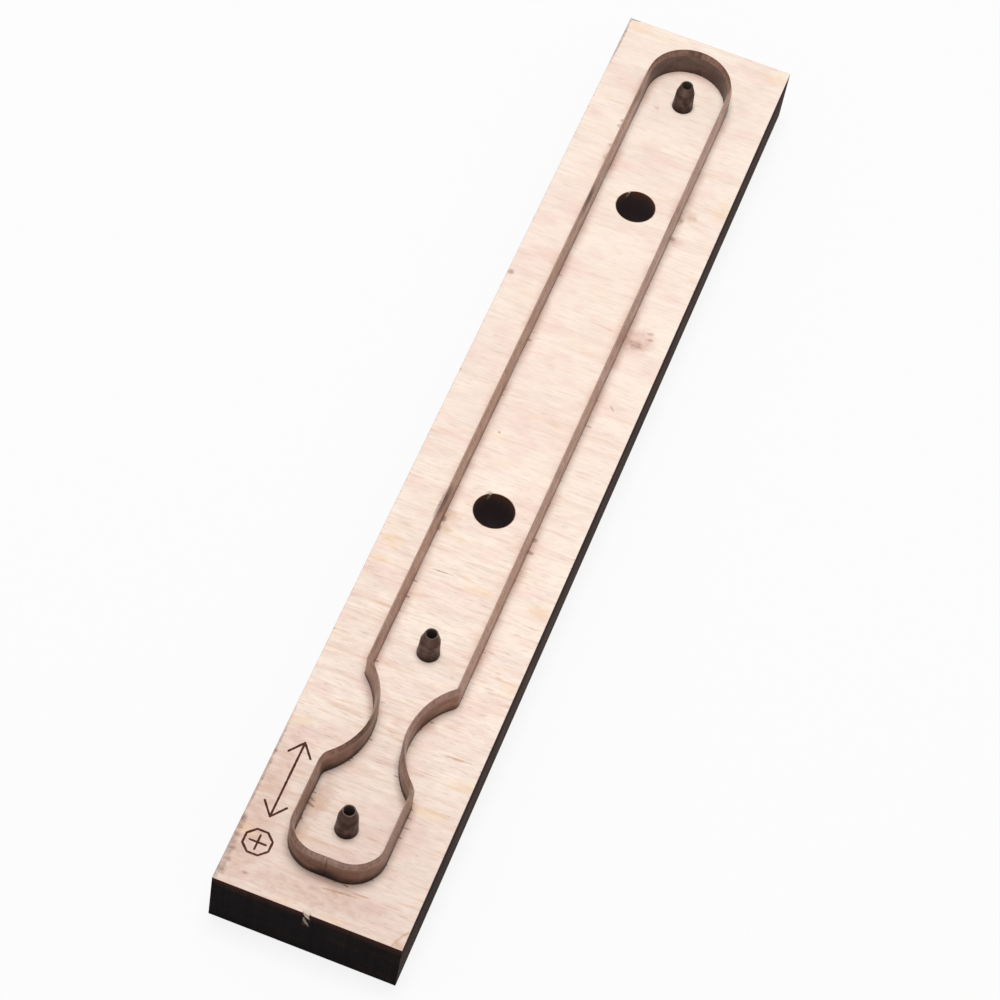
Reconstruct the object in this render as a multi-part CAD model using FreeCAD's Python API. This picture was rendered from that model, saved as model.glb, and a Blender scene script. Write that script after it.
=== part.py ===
import FreeCAD, Part
import math
import os

# Steel rule die for a strap with a narrowed neck and a tab. The origin is the middle of the
# board's underside, +Y runs along the board to the strap's round end, and +Z points up to the
# cutting edges. All sizes are in millimetres.

# Die board
board_length = 278.0
board_width = 44.0
board_thickness = 16.0

# Cutting rule, 3 point, with a long bevel on both sides
rule_height = 23.8
rule_thickness = 1.05
bevel_height = 1.8
butt_gap = 0.1

# Outline of the strap, measured at the knife edge
outline_width = 21.4
far_margin = 10.5
near_margin = 10.5
near_corner_radius = 7.8
neck_from_near_end = 37.7
neck_width = 8.7
neck_radius = 18.3
lower_shoulder_radius = 3.0
upper_shoulder_radius = 1.5

# Laser kerf, and the bridges of uncut wood that hold the island inside the rule
kerf_clearance = 0.04
bridge_length = 6.0
bridges_per_long_side = 3
notch_clearance = 0.2

# Tube punches
punch_shank_diameter = 5.3
punch_body_height = 5.2
punch_shoulder_diameter = 4.7
punch_rim_diameter = 3.1
punch_bore_diameter = 2.6
punch_relief_diameter = 3.4
punch_bore_depth = 9.0
punch_seat_clearance = 0.02
end_punch_inset = 12.5
mid_punch_pitch = 50.0

# Through-holes on the centreline
hole_diameter = 10.0
hole_from_far_end = 60.0
hole_pitch = 102.0

# Hollow at the top of the near end face, where the tab that held the board in its sheet broke out
scar_width = 1.8
scar_depth = 0.5
scar_height = 5.5

# Places along Y that follow from the sizes above
near_end = -board_length / 2 + near_margin
far_end = board_length / 2 - far_margin
half_outline = outline_width / 2
far_arc_y = far_end - half_outline
neck_y = near_end + neck_from_near_end
far_hole_y = board_length / 2 - hole_from_far_end
near_hole_y = far_hole_y - hole_pitch
near_punch_y = near_end + end_punch_inset
mid_punch_y = near_punch_y + mid_punch_pitch
far_punch_y = far_end - end_punch_inset

# Centre of the arc that narrows the neck, on the right-hand side
neck_arc_x = neck_width / 2 + neck_radius


def point(x, y, z=0.0):
    return FreeCAD.Vector(x, y, z)


def shoulder(radius, side):
    """Height along Y of the centre of a shoulder's bend, and the bend's angle.

    The bend is tangent to the straight side and to the neck's arc. side is -1 for the lower
    shoulder, on the tab, and 1 for the upper one.
    """
    across = neck_arc_x - (half_outline - radius)
    along = math.sqrt((neck_radius + radius) ** 2 - across ** 2)
    return neck_y + side * along, math.atan2(along, across)


lower_shoulder_y, lower_bend = shoulder(lower_shoulder_radius, -1)
upper_shoulder_y, upper_bend = shoulder(upper_shoulder_radius, 1)


def right_half(grow, start_x):
    """Runs and bends of the outline's right half, from the near end to the tip of the far arc.

    grow moves the outline outwards. A run is its two end points. A bend is its centre, radius
    and the angles where it starts and ends.
    """
    near_y = near_end - grow
    side_x = half_outline + grow
    corner_x = half_outline - near_corner_radius
    corner_y = near_end + near_corner_radius
    return [
        ("run", (start_x, near_y), (corner_x, near_y)),
        ("bend", (corner_x, corner_y), near_corner_radius + grow, -math.pi / 2, 0.0),
        ("run", (side_x, corner_y), (side_x, lower_shoulder_y)),
        ("bend", (half_outline - lower_shoulder_radius, lower_shoulder_y),
         lower_shoulder_radius + grow, 0.0, lower_bend),
        ("bend", (neck_arc_x, neck_y), neck_radius - grow, math.pi + lower_bend, math.pi - upper_bend),
        ("bend", (half_outline - upper_shoulder_radius, upper_shoulder_y),
         upper_shoulder_radius + grow, -upper_bend, 0.0),
        ("run", (side_x, upper_shoulder_y), (side_x, far_arc_y)),
        ("bend", (0.0, far_arc_y), side_x, 0.0, math.pi / 2),
    ]


def mirrored(piece):
    """The same run or bend on the left-hand side, walked the other way."""
    if piece[0] == "run":
        kind, start, end = piece
        return kind, (-end[0], end[1]), (-start[0], start[1])
    kind, centre, radius, start, end = piece
    return kind, (-centre[0], centre[1]), radius, math.pi - end, math.pi - start


def edge(piece):
    if piece[0] == "run":
        kind, start, end = piece
        return Part.LineSegment(point(*start), point(*end)).toShape()
    kind, centre, radius, start, end = piece
    on_arc = [
        point(centre[0] + radius * math.cos(angle), centre[1] + radius * math.sin(angle))
        for angle in (start, (start + end) / 2, end)
    ]
    return Part.Arc(*on_arc).toShape()


def outline(grow=0.0, start_x=0.0):
    """The whole outline as one wire. It stays open at the near end if start_x isn't zero."""
    right = right_half(grow, start_x)
    left = [mirrored(piece) for piece in reversed(right)]
    return Part.Wire([edge(piece) for piece in right + left])


def bridge_places():
    """Middle of each bridge, as X and Y."""
    spacing = (far_arc_y - upper_shoulder_y) / bridges_per_long_side
    heights = [upper_shoulder_y + spacing * (i + 0.5) for i in range(bridges_per_long_side)]
    heights.append((near_end + near_corner_radius + lower_shoulder_y) / 2)
    return [(side * half_outline, y) for y in heights for side in (-1, 1)]


def block_at_bridges(length, width, height):
    """Blocks that stand on the board's underside at each bridge, length measured along Y."""
    blocks = [
        Part.makeBox(width, length, height, point(x - width / 2, y - length / 2))
        for x, y in bridge_places()
    ]
    return Part.makeCompound(blocks)


def kerf():
    """The slots between the bridges, through the whole board."""
    reach = rule_thickness / 2 + kerf_clearance
    ring = Part.Face(outline(reach)).cut(Part.Face(outline(-reach)))
    slot = ring.extrude(point(0, 0, board_thickness))
    return slot.cut(block_at_bridges(bridge_length, 4 * rule_thickness, board_thickness))


def tab_scar():
    """Wedge that is cut from the near end face, deepest at the board's top."""
    top = board_thickness
    outer_y = -board_length / 2
    side = Part.makePolygon([
        point(-scar_width / 2, outer_y, top - scar_height),
        point(-scar_width / 2, outer_y, top),
        point(-scar_width / 2, outer_y + scar_depth, top),
        point(-scar_width / 2, outer_y, top - scar_height),
    ])
    return Part.Face(side).extrude(point(scar_width, 0))


def die_board():
    board = Part.makeBox(
        board_width, board_length, board_thickness, point(-board_width / 2, -board_length / 2)
    )
    board = board.cut(kerf())
    for y in (near_hole_y, far_hole_y):
        board = board.cut(Part.makeCylinder(hole_diameter / 2, board_thickness, point(0, y)))
    seat_radius = punch_shank_diameter / 2 + punch_seat_clearance
    for y in (near_punch_y, mid_punch_y, far_punch_y):
        board = board.cut(Part.makeCylinder(seat_radius, board_thickness, point(0, y)))
    return board.cut(tab_scar())


def cutting_rule():
    """One strip, swept round the outline, with a knife edge and a notch over each bridge."""
    start_x = butt_gap / 2
    half = rule_thickness / 2
    shoulder_z = rule_height - bevel_height
    section = Part.makePolygon([
        point(start_x, near_end - half, 0),
        point(start_x, near_end - half, shoulder_z),
        point(start_x, near_end, rule_height),
        point(start_x, near_end + half, shoulder_z),
        point(start_x, near_end + half, 0),
        point(start_x, near_end - half, 0),
    ])
    strip = outline(0.0, start_x).makePipeShell([section], True, False)
    notch_length = bridge_length + 2 * notch_clearance
    notches = block_at_bridges(notch_length, 4 * rule_thickness, board_thickness + notch_clearance)
    return strip.cut(notches)


def tube_punch(y):
    """A turned tube: shank, tapered body, conical nose, and a bore that widens below."""
    shank = punch_shank_diameter / 2
    rim = punch_rim_diameter / 2
    bore = punch_bore_diameter / 2
    relief = punch_relief_diameter / 2
    shoulder_radius = punch_shoulder_diameter / 2
    relief_z = rule_height - punch_bore_depth
    profile = Part.makePolygon([
        point(relief, 0, 0),
        point(shank, 0, 0),
        point(shank, 0, board_thickness),
        point(shoulder_radius, 0, board_thickness + punch_body_height),
        point(rim, 0, rule_height),
        point(bore, 0, rule_height),
        point(bore, 0, relief_z),
        point(relief, 0, relief_z - (relief - bore)),
        point(relief, 0, 0),
    ])
    punch = Part.Face(profile).revolve(point(0, 0), point(0, 0, 1), 360)
    punch.translate(point(0, y))
    return punch


def only_solid(shape):
    """The shape's one solid, with leftover seams merged."""
    solid = shape.removeSplitter()
    return solid.Solids[0] if len(solid.Solids) == 1 else solid


nodes = {
    "die_board": die_board(),
    "cutting_rule": cutting_rule(),
    "tube_punch_near": tube_punch(near_punch_y),
    "tube_punch_mid": tube_punch(mid_punch_y),
    "tube_punch_far": tube_punch(far_punch_y),
}

os.makedirs("parts", exist_ok=True)
for name, shape in nodes.items():
    solid = only_solid(shape)
    solid.exportStep("parts/" + name + ".step")
    print(name, len(solid.Solids), solid.isValid(), round(solid.Volume, 2))
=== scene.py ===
import math
import random

import bpy
from mathutils import Matrix, Vector


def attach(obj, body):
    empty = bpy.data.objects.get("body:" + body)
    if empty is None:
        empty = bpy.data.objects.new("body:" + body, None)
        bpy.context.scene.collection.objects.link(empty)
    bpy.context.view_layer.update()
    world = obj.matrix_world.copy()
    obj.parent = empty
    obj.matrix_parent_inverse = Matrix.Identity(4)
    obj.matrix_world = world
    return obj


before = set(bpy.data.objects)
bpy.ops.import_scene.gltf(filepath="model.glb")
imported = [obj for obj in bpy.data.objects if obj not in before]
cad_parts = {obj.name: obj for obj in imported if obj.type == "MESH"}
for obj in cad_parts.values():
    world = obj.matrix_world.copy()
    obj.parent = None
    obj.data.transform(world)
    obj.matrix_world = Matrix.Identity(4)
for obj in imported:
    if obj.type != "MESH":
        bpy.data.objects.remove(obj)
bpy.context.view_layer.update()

# Steel rule die: a plywood die board with a bent cutting rule and three tube punches. Lengths are in
# millimetres until a mesh is made, in the solids' own frame.
MM = 0.001
random.seed(7)

# Sizes of the solids, repeated from their source
BOARD_TOP = 16.0
BOARD_END = 139.0
BOARD_SIDE = 22.0
RULE_TOP = 23.8
BEVEL = 1.8
OUTLINE_HALF = 10.7
NEAR_END = -128.5
NEAR_CORNER = 7.8
FAR_ARC_Y = 117.8
NECK_Y = -90.8
NECK_ARC_X = 22.65
NECK_RADIUS = 18.3
LOWER_SHOULDER = 3.0
UPPER_SHOULDER = 1.5
HOLES = (-23.0, 79.0)
HOLE_RADIUS = 5.0
PUNCHES = (-116.0, -66.0, 116.0)
PUNCH_RADIUS = 2.65
PUNCH_BORE = 1.3
SCAR_HALF = 0.9
SCAR_DEPTH = 0.5
SCAR_HEIGHT = 5.5

# Half of a ply's thickness
HALF_PLY = 0.727

# The burnt setting-out marks: width of their strokes, height above the veneer, thickness, and the step
# in height from point to point that keeps crossing strokes apart
STROKE = 0.55
CROSS_STROKE = 0.5
STROKE_STEP = 0.7
MARK_LIFT = 0.02
MARK_THICKNESS = 0.06
MARK_CLIMB = 0.00002
ARROW_X = -16.4
ARROW_ENDS = (-120.0, -99.5)
ARROW_BARB = (2.6, 3.4)
RING_Y = -127.0
RING_RADIUS = 3.3
RING_SIDES = 8
CROSS_HALF = 1.9

# Splinters: rows of points from one stated point to the next, and half of the ridge in strand widths
SPLINTER_ROWS = 4
RIDGE = 0.46

# Floor, light and camera, in metres, watts and degrees
WHITE = (1.0, 1.0, 1.0, 1.0)
PAPER_GREY = (0.82, 0.82, 0.82, 1.0)
PAPER_GLOW = 0.85
FLOOR_REACH = 2.5
FLOOR_DROP = 0.00002
SKY_COLOUR = (1.0, 0.985, 0.97, 1.0)
SKY_STRENGTH = 0.32
LAMP_PLACE = (-0.04, 0.10, 1.30)
LAMP_SIZE = 0.6
LAMP_POWER = 13.6
CAMERA_PLACE = (0.09357, -0.49603, 0.68835)
CAMERA_ANGLES = (35.30749, -6.60808, 20.31825)
CAMERA_LENS = 127.886
CAMERA_SENSOR = 36.0
CAMERA_CLIP = 0.01


def srgb(red, green, blue):
    """The linear colour of an sRGB one given in 0 to 255."""
    def linear(value):
        value /= 255
        return value / 12.92 if value <= 0.04045 else ((value + 0.055) / 1.055) ** 2.4
    return linear(red), linear(green), linear(blue), 1.0


class Value:
    """A number in a shader, which takes part in formulas."""

    def __init__(self, finish, socket):
        self.finish, self.socket = finish, socket

    def __add__(self, other):
        return self.finish.math("ADD", self, other)

    def __radd__(self, other):
        return self.finish.math("ADD", other, self)

    def __sub__(self, other):
        return self.finish.math("SUBTRACT", self, other)

    def __rsub__(self, other):
        return self.finish.math("SUBTRACT", other, self)

    def __mul__(self, other):
        return self.finish.math("MULTIPLY", self, other)


class Finish:
    """One material, whose nodes are built from formulas in the object's own millimetres."""

    def __init__(self, name):
        self.material = bpy.data.materials.new(name)
        self.material.use_nodes = True
        self.tree = self.material.node_tree
        self.tree.nodes.clear()
        coords = self.node("ShaderNodeTexCoord")
        self.place = self.vector("SCALE", coords.outputs["Object"], scale=1 / MM)
        self.x, self.y, self.z = self.parts(self.place)
        self.normal = self.parts(coords.outputs["Normal"])

    def node(self, kind, inputs=None, **settings):
        made = self.tree.nodes.new(kind)
        for key, value in settings.items():
            setattr(made, key, value)
        for key, value in (inputs or {}).items():
            self.feed(made.inputs[key], value)
        return made

    def feed(self, socket, value):
        if isinstance(value, Value):
            value = value.socket
        if isinstance(value, bpy.types.NodeSocket):
            self.tree.links.new(value, socket)
        else:
            socket.default_value = value

    def math(self, operation, *values):
        made = self.node("ShaderNodeMath", dict(enumerate(values)), operation=operation)
        return Value(self, made.outputs[0])

    def vector(self, operation, *vectors, scale=None):
        made = self.node("ShaderNodeVectorMath", dict(enumerate(vectors)), operation=operation)
        if scale is not None:
            made.inputs["Scale"].default_value = scale
        single = operation in ("DOT_PRODUCT", "DISTANCE")
        return Value(self, made.outputs["Value" if single else "Vector"])

    def parts(self, vector):
        split = self.node("ShaderNodeSeparateXYZ", {0: vector})
        return [Value(self, socket) for socket in split.outputs]

    def join(self, x, y, z):
        return Value(self, self.node("ShaderNodeCombineXYZ", {0: x, 1: y, 2: z}).outputs[0])

    def noise(self, scales, detail, roughness, seed):
        """Noise from 0 to 1 with that many bumps to a millimetre along X, Y and Z.

        seed moves the noise to a part of the pattern that no other noise uses.
        """
        moved = (seed * 7.31, seed * 3.17, seed * 5.73)
        scaled = self.vector("MULTIPLY_ADD", self.place, scales, moved)
        inputs = {"Vector": scaled, "Scale": 1.0, "Detail": detail, "Roughness": roughness}
        return Value(self, self.node("ShaderNodeTexNoise", inputs).outputs[0])

    def ramp(self, value, low, high, bottom=0.0, top=1.0):
        """Rises smoothly from bottom to top while value goes from low to high."""
        made = self.node("ShaderNodeMapRange", {0: value, 1: low, 2: high, 3: bottom, 4: top},
                         interpolation_type="SMOOTHSTEP")
        return Value(self, made.outputs[0])

    def smallest(self, values):
        """The smallest of several values."""
        found = values[0]
        for value in values[1:]:
            found = self.math("MINIMUM", found, value)
        return found

    def mix(self, amount, first, second):
        made = self.node("ShaderNodeMix", {0: amount, 6: first, 7: second}, data_type="RGBA")
        return made.outputs[2]

    def multiply(self, colour, amount):
        """The colour, darker or lighter by amount, where 1 keeps it."""
        made = self.node("ShaderNodeMix", {0: 1.0, 6: colour, 7: self.join(amount, amount, amount)},
                         data_type="RGBA", blend_type="MULTIPLY")
        return made.outputs[2]

    def finish(self, colour, roughness, height, depth, metallic=0.0, specular=0.5):
        """Ends the material. height is a pattern from 0 to 1 and depth its relief in millimetres."""
        bump = self.node("ShaderNodeBump", {"Height": height, "Distance": depth * MM, "Strength": 1.0})
        shader = self.node("ShaderNodeBsdfPrincipled", {
            "Base Color": colour,
            "Roughness": roughness,
            "Metallic": metallic,
            "Specular IOR Level": specular,
            "Normal": bump.outputs[0],
        })
        self.node("ShaderNodeOutputMaterial", {0: shader.outputs[0]})
        return self.material


def outline_distance(finish):
    """Distance in plan from the middle of the rule."""
    across = finish.math("ABSOLUTE", finish.x)
    plan = finish.join(across, finish.y, 0.0)

    def run(x, start, end):
        nearest = finish.math("MINIMUM", finish.math("MAXIMUM", finish.y, start), end)
        return finish.vector("DISTANCE", plan, finish.join(x, nearest, 0.0))

    def bend(centre, radius, start, end):
        off = finish.math("ABSOLUTE", finish.vector("DISTANCE", plan, (*centre, 0.0)) - radius)
        inside = []
        for angle, sign in ((start, 1), (end, -1)):
            across_ray = Vector((-math.sin(angle) * sign, math.cos(angle) * sign, 0.0))
            past = finish.vector("DOT_PRODUCT", plan, tuple(across_ray))
            inside.append(past - across_ray.dot(Vector((*centre, 0.0))))
        outside = finish.math("LESS_THAN", finish.smallest(inside), 0.0)
        return off + outside * 50.0

    def shoulder(radius, side):
        sideways = NECK_ARC_X - (OUTLINE_HALF - radius)
        along = math.sqrt((NECK_RADIUS + radius) ** 2 - sideways ** 2)
        return NECK_Y + side * along, math.atan2(along, sideways)

    lower_y, lower_bend = shoulder(LOWER_SHOULDER, -1)
    upper_y, upper_bend = shoulder(UPPER_SHOULDER, 1)
    corner = (OUTLINE_HALF - NEAR_CORNER, NEAR_END + NEAR_CORNER)
    end_x = finish.math("MINIMUM", across, corner[0])
    return finish.smallest([
        finish.vector("DISTANCE", plan, finish.join(end_x, NEAR_END, 0.0)),
        bend(corner, NEAR_CORNER, -math.pi / 2, 0.0),
        run(OUTLINE_HALF, corner[1], lower_y),
        bend((OUTLINE_HALF - LOWER_SHOULDER, lower_y), LOWER_SHOULDER, 0.0, lower_bend),
        bend((NECK_ARC_X, NECK_Y), NECK_RADIUS, math.pi - upper_bend, math.pi + lower_bend),
        bend((OUTLINE_HALF - UPPER_SHOULDER, upper_y), UPPER_SHOULDER, -upper_bend, 0.0),
        run(OUTLINE_HALF, upper_y, FAR_ARC_Y),
        bend((0.0, FAR_ARC_Y), OUTLINE_HALF, 0.0, math.pi / 2),
    ])


# Marks on the veneer: colour, strength, softness, raggedness and bumps to a millimetre of the torn rim,
# then places as X, Y, length, width and angle
MARKS = (
    ((202, 164, 146), 0.66, 1.0, 2.4, 0.35, (
        (-18.5, -119.0, 8.0, 42.0, 0), (-8.2, -113.0, 4.5, 14.0, -8), (14.4, 38.8, 8.0, 7.0, 0),
        (0.0, -134.0, 32.0, 6.0, 3), (-5.7, 112.4, 1.5, 1.2, 0), (13.2, 82.0, 4.0, 4.0, 0),
        (12.6, 72.6, 5.0, 3.0, 0))),
    ((238, 204, 164), 0.60, 1.0, 1.8, 0.40, (
        (19.6, -95.9, 8.0, 2.4, 4), (20.0, -45.5, 6.0, 4.0, 0), (-18.6, -40.8, 6.0, 4.0, 0),
        (20.4, -67.6, 5.0, 3.0, 0), (20.4, 86.5, 4.0, 7.0, 0), (19.4, 135.0, 6.0, 4.0, 0),
        (-19.0, 136.5, 6.0, 3.0, 0), (-19.6, -94.3, 5.0, 3.0, 0), (-19.6, -46.4, 5.0, 3.0, 0),
        (-19.6, -124.7, 4.0, 4.0, 0), (5.5, -138.1, 6.0, 1.3, 0), (-6.0, -138.0, 5.0, 1.1, 0),
        (4.6, -45.6, 8.0, 2.4, 4),
        (15.0, -105.3, 9.0, 3.0, 4))),
    ((214, 178, 146), 0.62, 1.0, 1.8, 0.50, (
        (-8.9, -112.5, 5.0, 6.0, 0), (-8.8, -121.0, 3.0, 6.0, 0), (-8.6, -28.6, 5.0, 3.2, 0),
        (-8.8, -32.5, 3.6, 2.4, 0))),
    ((150, 104, 88), 0.75, 1.0, 1.6, 0.80, (
        (-21.3, 45.9, 2.0, 1.7, 0), (-2.8, -18.65, 1.5, 1.0, 30), (14.3, 37.8, 3.6, 2.8, -10),
        (16.6, 42.4, 1.8, 1.0, 10), (17.0, 40.6, 1.8, 0.9, 0))),
    ((148, 114, 99), 0.75, 1.0, 1.6, 0.70, (
        (-12.2, 104.4, 1.5, 1.3, 0), (-12.3, 102.6, 1.7, 1.5, 0), (-12.0, 95.4, 2.2, 1.6, 0),
        (-11.9, 91.2, 1.8, 2.4, 0), (-11.7, 86.0, 1.4, 2.0, 0), (11.8, 79.5, 1.4, 2.4, 0),
        (11.8, 73.2, 1.6, 1.2, 0))),
    ((104, 72, 58), 0.80, 0.7, 1.4, 0.80, (
        (-12.1, -26.4, 9.0, 1.0, 89), (-10.1, -30.0, 1.6, 1.8, 0), (-10.2, -32.9, 1.2, 1.8, 0),
        (-11.5, -71.0, 3.6, 0.5, 86), (-9.9, -112.1, 2.2, 0.80, -14), (-9.6, -113.5, 2.6, 0.75, -14),
        (-10.0, -110.4, 1.4, 0.45, 0), (-10.2, -117.6, 1.2, 0.9, 0), (12.0, -110.6, 2.2, 0.40, 0),
        (5.4, -99.2, 1.6, 0.5, 0), (-9.8, 28.0, 1.6, 0.5, 0), (11.8, 9.6, 1.9, 0.5, 0),
        (-6.8, -1.1, 0.8, 0.7, 0), (11.4, -26.8, 1.9, 1.2, 0), (11.5, -30.6, 2.4, 1.0, 0),
        (10.0, -30.9, 1.6, 0.8, 0), (-9.9, -49.0, 1.6, 0.6, 0), (-10.0, -53.8, 1.5, 0.6, 0),
        (-5.0, -44.1, 4.8, 0.36, 3))),
    ((178, 130, 90), 0.78, 0.8, 1.2, 0.80, (
        (4.6, -131.3, 9.4, 0.60, 6), (8.9, -130.2, 3.8, 0.45, 4), (16.2, -89.6, 8.0, 0.6, 4))),
    ((194, 152, 114), 0.80, 1.0, 1.4, 0.80, (
        (19.8, -138.0, 2.6, 0.7, 70), (20.5, -136.3, 2.4, 0.7, 60), (21.3, -134.9, 2.4, 0.7, 55),
        (20.9, -138.2, 2.0, 1.5, 0))),
    ((130, 102, 90), 0.80, 1.0, 2.2, 0.35, (
        (-21.9, -131.5, 2.8, 17.0, 0), (-21.6, -136.0, 3.0, 3.6, 20), (-21.5, -130.6, 2.2, 2.6, 0),
        (-21.2, -133.4, 2.2, 1.8, 0), (-21.7, -124.0, 2.0, 6.0, 0), (-21.9, -108.0, 1.2, 28.0, 0))),
    ((118, 90, 80), 0.62, 0.9, 1.4, 0.80, (
        (-16.0, -135.0, 1.7, 0.8, 0), (15.4, 17.0, 1.9, 0.5, -50), (-4.6, -82.6, 1.4, 0.5, 10))),
    ((108, 104, 106), 0.75, 0.7, 2.0, 0.80, (
        (-21.85, 131.0, 0.9, 18.0, 0), (-21.0, 138.8, 3.4, 0.8, 0))),
)


def blot(finish, wobble, softness, x, y, length, width, degrees):
    """1 in the middle of a ragged oval on the board's top, and 0 well outside it."""
    turn = math.radians(degrees)
    along = Vector((math.cos(turn), math.sin(turn), 0.0)) / (length / 2)
    over = Vector((-math.sin(turn), math.cos(turn), 0.0)) / (width / 2)
    middle = Vector((x, y, 0.0))
    u = finish.vector("DOT_PRODUCT", finish.place, tuple(along)) - along.dot(middle)
    v = finish.vector("DOT_PRODUCT", finish.place, tuple(over)) - over.dot(middle)
    return finish.ramp(u * u + v * v + wobble, 0.8 - softness, 0.8 + softness, 1.0, 0.0)


def centre_distance(f, places):
    """Distance in plan from the nearest of some places on the centreline."""
    plan = f.join(f.x, f.y, 0.0)
    return f.smallest([f.vector("DISTANCE", plan, (0.0, y, 0.0)) for y in places])


def veneer_colour(f, fibres):
    """Sanded veneer, whose grain runs across the board and shows more towards the near end."""
    broad = f.noise((0.035, 0.10, 0.5), 2.0, 0.5, 1)
    bands = f.noise((0.035, 0.60, 0.5), 3.0, 0.65, 2)
    flecks = f.noise((0.32, 1.6, 0.5), 2.0, 0.5, 4)
    streaks = f.noise((0.13, 0.9, 0.5), 2.0, 0.5, 5)
    blush = f.noise((0.10, 0.18, 0.5), 2.0, 0.5, 6)
    mottle = f.noise((0.25, 0.55, 0.5), 3.0, 0.7, 13)
    tan = f.noise((0.09, 0.20, 0.5), 3.0, 0.6, 14)
    figure = f.ramp(f.y, -135.0, 60.0, 1.22, 0.54)
    wood = f.mix(f.ramp(broad, 0.3, 0.7), srgb(246, 232, 218), srgb(243, 226, 214))
    wood = f.mix(f.ramp(bands, 0.46, 0.74) * 0.66 * figure, wood, srgb(226, 199, 183))
    wood = f.mix(f.ramp(blush, 0.48, 0.72) * 0.50, wood, srgb(237, 207, 197))
    wood = f.mix(f.ramp(tan, 0.52, 0.74) * 0.36, wood, srgb(240, 215, 191))
    wood = f.mix(f.ramp(streaks, 0.56, 0.78) * 0.50 * figure, wood, srgb(222, 184, 154))
    wood = f.mix(f.ramp(flecks, 0.55, 0.80) * 0.40 * figure, wood, srgb(190, 150, 134))
    wood = f.multiply(wood, 1.01 + ((fibres - 0.5) * 0.30 + (mottle - 0.5) * 0.32) * figure)

    # Painted shade: a little darker at the far end, on the left and at the near end; the near end is also
    # browner
    far_or_left = f.math("MAXIMUM", f.ramp(f.y, 20.0, 120.0), f.ramp(f.x, -6.0, -14.0))
    wood = f.multiply(wood, f.ramp(far_or_left, 0.0, 1.0, 1.0, 0.972))
    wood = f.mix(f.ramp(f.y, -70.0, -130.0) * 0.30, wood, srgb(226, 194, 182))
    # Painted shade towards the near end
    return f.multiply(wood, f.ramp(f.y, -BOARD_END, -70.0, 0.93, 1.0))


def scorch_and_shade(f, wood, holes):
    """The wood's colour with scorch beside the rule, round the holes and along the board's edges, and a
    haze beside the rule that is scorch and painted contact shade.
    """
    ragged = f.noise((0.30, 1.7, 0.5), 2.0, 0.6, 7)
    patchy = f.noise((0.10, 0.12, 0.5), 2.0, 0.5, 8)
    licks = f.ramp(ragged, 0.59, 0.76) * f.ramp(patchy, 0.40, 0.60, 0.35, 1.0)
    rule = outline_distance(f)
    close = f.ramp(rule - licks * 1.2, 0.42, 0.80, 1.0, 0.0)
    haze = f.ramp(rule - ragged * 2.0, 0.0, 2.2, 1.0, 0.0) * f.ramp(patchy, 0.35, 0.7)
    seats = centre_distance(f, PUNCHES) - PUNCH_RADIUS
    rim = f.ramp(f.math("MINIMUM", holes, seats) - licks * 0.5, -0.1, 0.25, 1.0, 0.0)
    from_side = BOARD_SIDE - f.math("ABSOLUTE", f.x)
    from_end = BOARD_END - f.math("ABSOLUTE", f.y)
    edge = f.ramp(f.math("MINIMUM", from_side, from_end) - licks * 0.5, -0.1, 0.2, 1.0, 0.0)
    # Haze along the rule: scorch and painted contact shade at its foot
    wood = f.mix(haze * 0.50, wood, srgb(212, 170, 150))
    burnt = f.ramp(f.y, -100.0, -40.0, 0.65, 0.26) + licks * 0.25
    wood = f.mix(close * burnt, wood, srgb(106, 64, 50))
    wood = f.mix(rim * 0.6, wood, srgb(110, 72, 56))
    return f.mix(edge * 0.5, wood, srgb(120, 82, 64))


def marked(f, wood):
    """The wood's colour with the single marks on the board's top."""
    on_top = f.ramp(f.z, BOARD_TOP - 0.2, BOARD_TOP - 0.1)
    for colour, strength, softness, raggedness, grain, places in MARKS:
        torn = f.noise((grain, grain * 1.5, 0.5), 3.0, 0.65, 11)
        wobble = (torn - 0.5) * raggedness
        found = blot(f, wobble, softness, *places[0])
        for place in places[1:]:
            found = f.math("MAXIMUM", found, blot(f, wobble, softness, *place))
        amount = found * on_top * strength * f.ramp(torn, 0.25, 0.6, 1.0, 0.55)
        wood = f.mix(amount, wood, srgb(*colour))
    return wood


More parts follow.
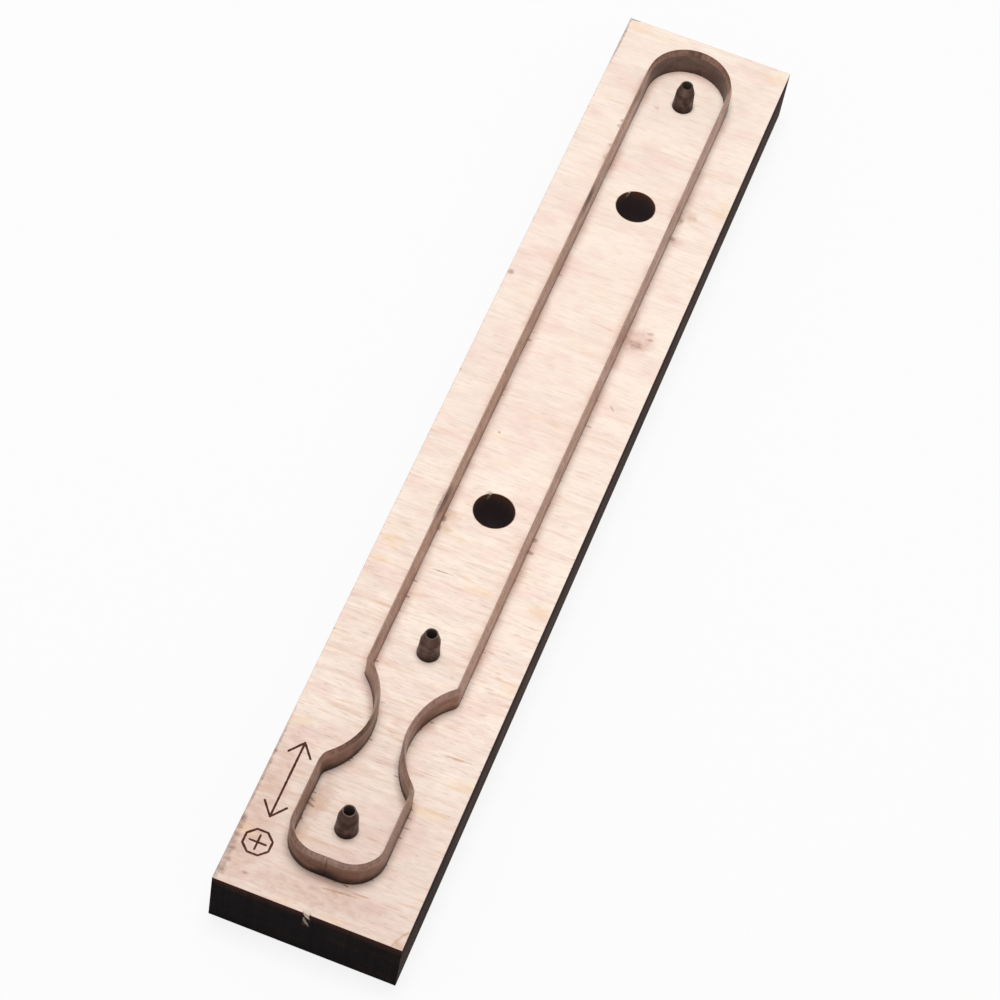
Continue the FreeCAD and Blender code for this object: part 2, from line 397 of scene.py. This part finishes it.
def char_colour(f, stripes, holes):
    """Laser-charred wood on the board's sides and in its holes."""
    # Black with brown clouds, faint plies and a red-brown lip under the top edge
    soot = f.noise((0.07, 0.07, 0.16), 3.0, 0.55, 10)
    plies = f.math("PINGPONG", f.z + soot * 0.8, HALF_PLY)
    char = f.mix(f.ramp(soot, 0.48, 0.78), srgb(27, 24, 25), srgb(48, 34, 30))
    char = f.multiply(char, f.ramp(stripes, 0.3, 0.75, 0.86, 1.16))
    char = f.multiply(char, f.ramp(plies, 0.0, 0.4, 0.92, 1.03))
    lip = f.ramp(f.z + stripes * 1.2 + soot * 1.4, BOARD_TOP - 2.0, BOARD_TOP + 1.4)
    char = f.mix(lip * 0.85, char, srgb(72, 42, 34))

    # Paler along the lower part of both long flanks, with faint streaks down every cut face
    flank = f.ramp(f.math("ABSOLUTE", f.x), BOARD_SIDE - 0.06, BOARD_SIDE - 0.04)
    paler = flank * f.ramp(f.z, 14.8, 9.0) * f.ramp(f.y, -BOARD_END, -60.0, 0.40, 0.60)
    char = f.mix(paler * f.ramp(soot, 0.30, 0.70, 0.75, 1.15), char, srgb(98, 82, 75))
    streaks = f.noise((0.5, 0.5, 0.03), 3.0, 0.6, 15)
    char = f.multiply(char, f.ramp(streaks, 0.3, 0.7, 0.87, 1.12))

    # Painted light in the holes: their walls are much lighter than the char elsewhere, making up for the
    # shade in them, and brown towards the top
    bored = f.ramp(f.z + stripes * 1.6, BOARD_TOP - 2.6, BOARD_TOP + 0.8)
    bored = f.mix(bored, srgb(102, 88, 89), srgb(138, 94, 68))
    char = f.mix(f.ramp(holes, 0.1, 0.4, 1.0, 0.0), char, bored)

    # Torn and sooty in the hollow where the holding tab broke off
    scar = f.ramp(f.math("ABSOLUTE", f.x), SCAR_HALF - 0.02, SCAR_HALF + 0.02, 1.0, 0.0)
    scar = scar * f.ramp(f.y, -BOARD_END + 0.01, -BOARD_END + 0.03)
    scar = scar * f.ramp(f.y, -BOARD_END + 0.7, -BOARD_END + 0.8, 1.0, 0.0)
    torn = f.ramp(f.noise((1.2, 1.2, 0.35), 2.0, 0.6, 12), 0.35, 0.6)
    return f.mix(scar * torn, char, srgb(84, 60, 50))


def board_finish():
    """Sanded veneer above and below, and laser-charred wood on every cut face."""
    f = Finish("board_veneer")
    veneer_face = f.ramp(f.math("ABSOLUTE", f.normal[2]), 0.4, 0.6)
    fibres = f.noise((0.20, 2.8, 0.5), 3.0, 0.7, 3)
    stripes = f.noise((1.6, 1.6, 0.05), 2.0, 0.6, 9)
    holes = centre_distance(f, HOLES) - HOLE_RADIUS
    wood = marked(f, scorch_and_shade(f, veneer_colour(f, fibres), holes))
    colour = f.mix(veneer_face, char_colour(f, stripes, holes), wood)
    relief = fibres * veneer_face * 0.3 + stripes * (1.0 - veneer_face)
    matt = f.ramp(fibres, 0.2, 0.8, 0.85, 0.72) + (1.0 - veneer_face) * 0.15
    return f.finish(colour, matt, relief, 0.06, specular=0.05)


def rule_finish():
    """Blued spring steel, brown with oil and soot, with brighter ground bevels, and painted light and
    shade along its run.
    """
    f = Finish("rule_steel")
    rolled = f.noise((0.05, 0.05, 3.0), 3.0, 0.6, 1)
    stains = f.noise((0.20, 0.20, 0.35), 3.0, 0.6, 2)
    rubs = f.noise((1.4, 1.4, 0.15), 2.0, 0.6, 3)
    shoulder = RULE_TOP - BEVEL
    bevel = f.ramp(f.z, shoulder - 0.05, shoulder + 0.05)
    # Dark at the foot: soot and painted contact shade
    soot = f.ramp(f.z - stains * 2.4, BOARD_TOP - 0.6, BOARD_TOP + 1.6, 1.0, 0.0)
    far = f.ramp(f.y, -60.0, 125.0)
    light = f.mix(far, srgb(148, 118, 104), srgb(153, 133, 125))
    dark = f.mix(far, srgb(114, 86, 75), srgb(119, 103, 97))
    steel = f.mix(f.ramp(stains, 0.3, 0.7, 0.26, 0.76), light, dark)
    steel = f.mix(f.ramp(rubs, 0.55, 0.75) * 0.35, steel, srgb(92, 74, 68))

    # Painted light and shade: paler along the long straight sides and darker in the far arc. Worn near the
    # bevel, and dark at the foot with soot and painted contact shade
    straight = f.ramp(f.y, -90.0, -66.0) * f.ramp(f.y, 120.0, 106.0)
    worn = f.ramp(f.z + stains, 20.8, 23.0) * f.ramp(straight, 0.0, 1.0, 0.40, 0.16)
    steel = f.mix(worn, steel, srgb(176, 154, 143))
    steel = f.mix(soot * f.ramp(f.y, -110.0, -50.0, 0.70, 0.14), steel, srgb(66, 48, 42))
    steel = f.multiply(steel, f.ramp(straight, 0.0, 1.0, 0.92, 1.54))
    steel = f.multiply(steel, f.ramp(f.y, 112.0, 121.0, 1.0, 0.60))
    ground = f.mix(f.ramp(rubs, 0.35, 0.65), srgb(147, 123, 112), srgb(129, 106, 96))
    # Painted highlight: the ground bevel brighter along the straight sides and in the far arc
    ground = f.multiply(ground, f.ramp(straight, 0.0, 1.0, 1.12, 1.42))
    ground = f.multiply(ground, f.ramp(f.y, 112.0, 121.0, 1.0, 1.56))
    colour = f.multiply(f.mix(bevel, steel, ground), f.ramp(rolled, 0.25, 0.75, 0.88, 1.08))

    # Fine pits, and a smudge on the outside at the butt joint
    pits = f.noise((1.5, 1.5, 1.5), 2.0, 0.7, 4)
    colour = f.multiply(colour, f.ramp(pits, 0.3, 0.7, 0.91, 1.07))
    smudge = f.ramp(f.math("ABSOLUTE", f.x + 0.2 + (stains - 0.5) * 4.0), 1.0, 4.4, 1.0, 0.0)
    smudge = smudge * f.ramp(f.y, NEAR_END + 0.2, NEAR_END - 0.2) * f.ramp(f.z + stains * 1.6, 21.2, 18.6)
    colour = f.mix(smudge * 0.80, colour, srgb(56, 48, 48))
    roughness = f.ramp(stains + bevel * -0.25, 0.1, 0.8, 0.32, 0.55)
    return f.finish(colour, roughness, rolled * 0.6 + rubs * 0.4, 0.02, metallic=1.0)


def punch_finish():
    """Oiled brown-black steel with fine turning lines, and a sooty bore painted much lighter to make up
    for the shade inside it.
    """
    f = Finish("punch_steel")
    turned = f.noise((0.05, 0.05, 6.0), 2.0, 0.6, 1)
    stains = f.noise((0.5, 0.5, 0.5), 3.0, 0.6, 2)
    steel = f.mix(f.ramp(stains, 0.3, 0.7), srgb(104, 88, 81), srgb(72, 58, 53))
    nose = f.ramp(f.z - stains, RULE_TOP - 3.4, RULE_TOP - 2.2)
    steel = f.mix(nose * 0.5, steel, srgb(132, 113, 105))
    base = f.ramp(f.z - stains * 2.0, BOARD_TOP - 0.6, BOARD_TOP + 2.6, 1.0, 0.0)
    steel = f.mix(base * 0.80, steel, srgb(50, 38, 35))
    colour = f.multiply(steel, f.ramp(turned, 0.25, 0.75, 0.88, 1.10))
    colour = f.multiply(colour, f.ramp(f.z, RULE_TOP - 0.10, RULE_TOP - 0.02, 1.0, 0.42))
    # Painted light: the bore gets a pale, non-metal colour that makes up for the shade inside it
    bore = f.ramp(centre_distance(f, PUNCHES), PUNCH_BORE + 0.005, PUNCH_BORE + 0.015, 1.0, 0.0)
    colour = f.mix(bore, colour, f.mix(stains, srgb(120, 104, 94), srgb(92, 78, 70)))
    return f.finish(colour, f.ramp(stains, 0.2, 0.8, 0.42, 0.6), turned, 0.02, metallic=1.0 - bore)


def piece(name, points, faces, material):
    """A mesh piece from points in millimetres, which goes with the object's one body."""
    mesh = bpy.data.meshes.new(name)
    mesh.from_pydata([tuple(value * MM for value in point) for point in points], [], faces)
    mesh.materials.append(material)
    made = bpy.data.objects.new(name, mesh)
    bpy.context.scene.collection.objects.link(made)
    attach(made, "root")
    return made


def scorched_finish():
    """Lines that the laser burnt into the veneer."""
    f = Finish("laser_scorch")
    burn = f.noise((2.5, 2.5, 0.5), 3.0, 0.6, 1)
    colour = f.mix(f.ramp(burn, 0.3, 0.7), srgb(62, 34, 27), srgb(94, 58, 46))
    return f.finish(colour, f.ramp(burn, 0.2, 0.8, 0.95, 0.8), burn, 0.03, specular=0.1)


def torn_finish(name, dirt):
    """Bare wood where a tab broke off, with torn fibres and soot. dirt goes from 0 to 1."""
    f = Finish(name)
    fibres = f.noise((2.2, 2.2, 0.4), 3.0, 0.6, 1)
    soot = f.noise((0.9, 0.9, 0.5), 2.0, 0.6, 2)
    colour = f.mix(f.ramp(fibres, 0.3, 0.7), srgb(234, 216, 200), srgb(196, 170, 150))
    colour = f.mix(f.ramp(soot, 0.62, 0.78) * 0.3, colour, srgb(130, 104, 90))
    colour = f.mix(f.ramp(f.z, BOARD_TOP - 1.4, BOARD_TOP - 2.4) * 0.75, colour, srgb(132, 124, 120))
    colour = f.mix(f.ramp(fibres, 0.2, 0.8, 0.8, 1.0) * dirt, colour, srgb(122, 104, 92))
    return f.finish(colour, f.ramp(fibres, 0.2, 0.8, 0.9, 0.75), fibres, 0.08, specular=0.2)


def stroke(path, width, points, faces):
    """Adds a flat stroke with round ends and slightly uneven edges, just proud of the board's top."""
    path = [Vector(place) for place in path]
    middle = []
    for start, end in zip(path, path[1:]):
        steps = max(1, round((end - start).length / STROKE_STEP))
        middle += [start.lerp(end, i / steps) for i in range(steps)]
    middle.append(path[-1])
    closed = (path[0] - path[-1]).length < 0.01
    if closed:
        middle.pop()
    count = len(middle)
    left, right = [], []
    for i, place in enumerate(middle):
        before = middle[i - 1] if i or closed else place
        after = middle[(i + 1) % count] if i + 1 < count or closed else place
        along = (after - before).normalized()
        side = Vector((-along.y, along.x))
        half = width / 2 * random.uniform(0.86, 1.12)
        left.append(place + side * half)
        right.append(place - side * half)
    base = len(points)
    height = BOARD_TOP + MARK_LIFT + MARK_CLIMB * base
    points += [(*place, height) for place in left + right]
    for i in range(count if closed else count - 1):
        j = (i + 1) % count
        faces.append((base + count + i, base + count + j, base + j, base + i))
    if closed:
        return
    for end, first, second in ((0, left[0], right[0]), (count - 1, right[-1], left[-1])):
        centre = middle[end]
        turn = (first - centre).to_3d()
        cap = len(points)
        points += [(*(centre + (Matrix.Rotation(math.pi * k / 6, 3, "Z") @ turn).to_2d()), height)
                   for k in range(1, 6)]
        rim = [base + end, *range(cap, cap + 5), base + count + end]
        if end:
            rim = [base + count + end, *range(cap, cap + 5), base + end]
        faces.append(tuple(rim))


def laser_marks():
    """Setting-out marks burnt into the veneer: a two-headed arrow and a ringed cross."""
    points, faces = [], []
    low, high = ARROW_ENDS
    half, back = ARROW_BARB
    stroke([(ARROW_X, low), (ARROW_X, high)], STROKE, points, faces)
    for tip, barb_y in ((low, low + back), (high, high - back)):
        stroke([(ARROW_X - half, barb_y), (ARROW_X, tip), (ARROW_X + half, barb_y)], STROKE, points, faces)
    ring = []
    for k in range(RING_SIDES + 1):
        angle = 2 * math.pi * (k + 0.5) / RING_SIDES
        ring.append((ARROW_X + RING_RADIUS * math.cos(angle), RING_Y + RING_RADIUS * math.sin(angle)))
    stroke(ring, STROKE, points, faces)
    stroke([(ARROW_X - CROSS_HALF, RING_Y), (ARROW_X + CROSS_HALF, RING_Y)], CROSS_STROKE, points, faces)
    stroke([(ARROW_X, RING_Y - CROSS_HALF), (ARROW_X, RING_Y + CROSS_HALF)], CROSS_STROKE, points, faces)
    made = piece("laser_marks", points, faces, scorched_finish())
    thickness = made.modifiers.new("thickness", "SOLIDIFY")
    thickness.thickness = MARK_THICKNESS * MM
    thickness.offset = -1.0


def splinters(name, strands, place, material):
    """Torn wood as tapering strands with a flattened ridge and a closed upper end.

    A strand is its points along the torn face, each as distance across, distance down, width and
    height. place turns across, down and height into a point of the model.
    """
    points, faces = [], []
    for strand in strands:
        rows = []
        for start, end in zip(strand, strand[1:]):
            for k in range(SPLINTER_ROWS):
                part = k / SPLINTER_ROWS
                rows.append([value + (aim - value) * part for value, aim in zip(start, end)])
        rows.append(strand[-1])
        base = len(points)
        for across, down, width, height in rows:
            rough = random.uniform(-0.05, 0.05)
            ridge = random.uniform(-0.03, 0.03) * width
            points += [
                place(across + rough - width / 2, down, 0.0),
                place(across + ridge - width * RIDGE, down, height),
                place(across + ridge + width * RIDGE, down, height),
                place(across - rough + width / 2, down, 0.0),
            ]
        faces.append((base, base + 3, base + 2, base + 1))
        for i in range(len(rows) - 1):
            a = base + 4 * i
            faces += [(a + j, a + j + 1, a + j + 5, a + j + 4) for j in range(3)]
    piece(name, points, faces, material)


def hole_scar(name, y, degrees, material):
    """Torn stub on a hole's wall, where the slug broke out."""
    turn = math.radians(degrees)
    outward = Vector((math.cos(turn), math.sin(turn), 0.0))
    side = Vector((outward.y, -outward.x, 0.0))
    root = HOLE_RADIUS + 0.04

    def place(across, down, height):
        top = Vector((0.0, y, BOARD_TOP - 0.04 - down))
        inset = root - math.sqrt(HOLE_RADIUS ** 2 - across ** 2)
        return top + outward * (root - inset - height) + side * across

    splinters(name, (
        (
            (0.18, 0.0, 0.55, 0.30),
            (0.02, 0.9, 0.42, 0.30),
            (-0.18, 1.9, 0.26, 0.20),
            (-0.30, 2.9, 0.05, 0.05),
        ),
        (
            (-0.30, 0.5, 0.10, 0.10),
            (-0.38, 1.4, 0.22, 0.16),
            (-0.46, 2.4, 0.05, 0.05),
        ),
    ), place, material)


def end_scar(material):
    """Splinters in the hollow where the holding tab broke off."""
    def place(across, down, height):
        wall = -BOARD_END + SCAR_DEPTH * max(0.0, 1 - down / SCAR_HEIGHT)
        return Vector((across, max(wall - height, -BOARD_END + 0.01), BOARD_TOP - 0.02 - down))

    splinters("end_scar", (
        (
            (0.0, 0.0, 1.72, 0.49),
            (-0.10, 0.4, 1.50, 0.47),
            (0.02, 1.2, 0.95, 0.38),
            (0.50, 1.9, 0.60, 0.28),
            (0.80, 2.4, 0.08, 0.1),
        ),
        (
            (-0.62, 2.0, 0.20, 0.26),
            (-0.46, 2.9, 0.62, 0.24),
            (0.02, 3.9, 0.80, 0.15),
            (0.60, 4.8, 0.30, 0.05),
            (0.84, 5.1, 0.05, 0.02),
        ),
    ), place, material)


def seen_directly(tree):
    """1 for what the camera sees itself or in metal or glass, and 0 for what only lights the scene."""
    rays = tree.nodes.new("ShaderNodeLightPath")
    seen = rays.outputs["Is Camera Ray"]
    for name in ("Is Glossy Ray", "Is Transmission Ray"):
        either = tree.nodes.new("ShaderNodeMath")
        either.operation = "MAXIMUM"
        tree.links.new(seen, either.inputs[0])
        tree.links.new(rays.outputs[name], either.inputs[1])
        seen = either.outputs[0]
    return seen


def paper_finish():
    """Pale paper, which the camera sees close to white and which keeps the object's shadow."""
    f = Finish("floor_paper")
    diffuse = f.node("ShaderNodeBsdfDiffuse", {"Color": PAPER_GREY})
    glow = f.node("ShaderNodeEmission", {"Color": WHITE, "Strength": 1.0})
    share = Value(f, seen_directly(f.tree)) * PAPER_GLOW
    blend = f.node("ShaderNodeMixShader", {0: share, 1: diffuse.outputs[0], 2: glow.outputs[0]})
    f.node("ShaderNodeOutputMaterial", {0: blend.outputs[0]})
    return f.material


def add_floor():
    mesh = bpy.data.meshes.new("floor")
    corners = [(x * FLOOR_REACH, y * FLOOR_REACH, 0.0) for x, y in ((-1, -1), (1, -1), (1, 1), (-1, 1))]
    mesh.from_pydata(corners, [], [(0, 1, 2, 3)])
    floor = bpy.data.objects.new("floor", mesh)
    floor.location.z = -FLOOR_DROP
    bpy.context.scene.collection.objects.link(floor)
    mesh.materials.append(paper_finish())


def add_studio_world():
    """Soft light from all sides behind a white backdrop."""
    world = bpy.data.worlds.new("studio")
    world.use_nodes = True
    bpy.context.scene.world = world
    tree = world.node_tree
    tree.nodes.clear()
    soft = tree.nodes.new("ShaderNodeBackground")
    soft.inputs["Color"].default_value = SKY_COLOUR
    soft.inputs["Strength"].default_value = SKY_STRENGTH
    backdrop = tree.nodes.new("ShaderNodeBackground")
    backdrop.inputs["Color"].default_value = WHITE
    mixed = tree.nodes.new("ShaderNodeMixShader")
    ended = tree.nodes.new("ShaderNodeOutputWorld")
    tree.links.new(seen_directly(tree), mixed.inputs[0])
    tree.links.new(soft.outputs[0], mixed.inputs[1])
    tree.links.new(backdrop.outputs[0], mixed.inputs[2])
    tree.links.new(mixed.outputs[0], ended.inputs[0])


def add_lamp():
    """One large soft box above, aimed at the die."""
    lamp = bpy.data.lights.new("key_light", "AREA")
    lamp.shape = "SQUARE"
    lamp.size = LAMP_SIZE
    lamp.energy = LAMP_POWER
    made = bpy.data.objects.new("key_light", lamp)
    made.location = LAMP_PLACE
    made.rotation_mode = "QUATERNION"
    made.rotation_quaternion = (-Vector(LAMP_PLACE)).to_track_quat("-Z", "Y")
    bpy.context.scene.collection.objects.link(made)


def add_camera():
    data = bpy.data.cameras.new("camera")
    data.sensor_width = CAMERA_SENSOR
    data.lens = CAMERA_LENS
    data.clip_start = CAMERA_CLIP
    camera = bpy.data.objects.new("camera", data)
    camera.location = CAMERA_PLACE
    camera.rotation_euler = [math.radians(angle) for angle in CAMERA_ANGLES]
    bpy.context.scene.collection.objects.link(camera)
    bpy.context.scene.camera = camera


# The solids' materials
materials = {
    "die_board": board_finish(),
    "cutting_rule": rule_finish(),
}
punch_material = punch_finish()
for name in ("tube_punch_near", "tube_punch_mid", "tube_punch_far"):
    materials[name] = punch_material
for name, material in materials.items():
    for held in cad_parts[name].material_slots:
        held.material = material

# Small pieces that stay with the scene
laser_marks()
sooty = torn_finish("torn_wood_sooty", 0.6)
hole_scar("hole_scar_far", HOLES[1], 130.0, sooty)
hole_scar("hole_scar_near", HOLES[0], 123.0, sooty)
end_scar(torn_finish("torn_wood", 0.0))

# Floor, light and camera
add_floor()
add_studio_world()
add_lamp()
add_camera()
bpy.context.scene.view_settings.view_transform = "Standard"
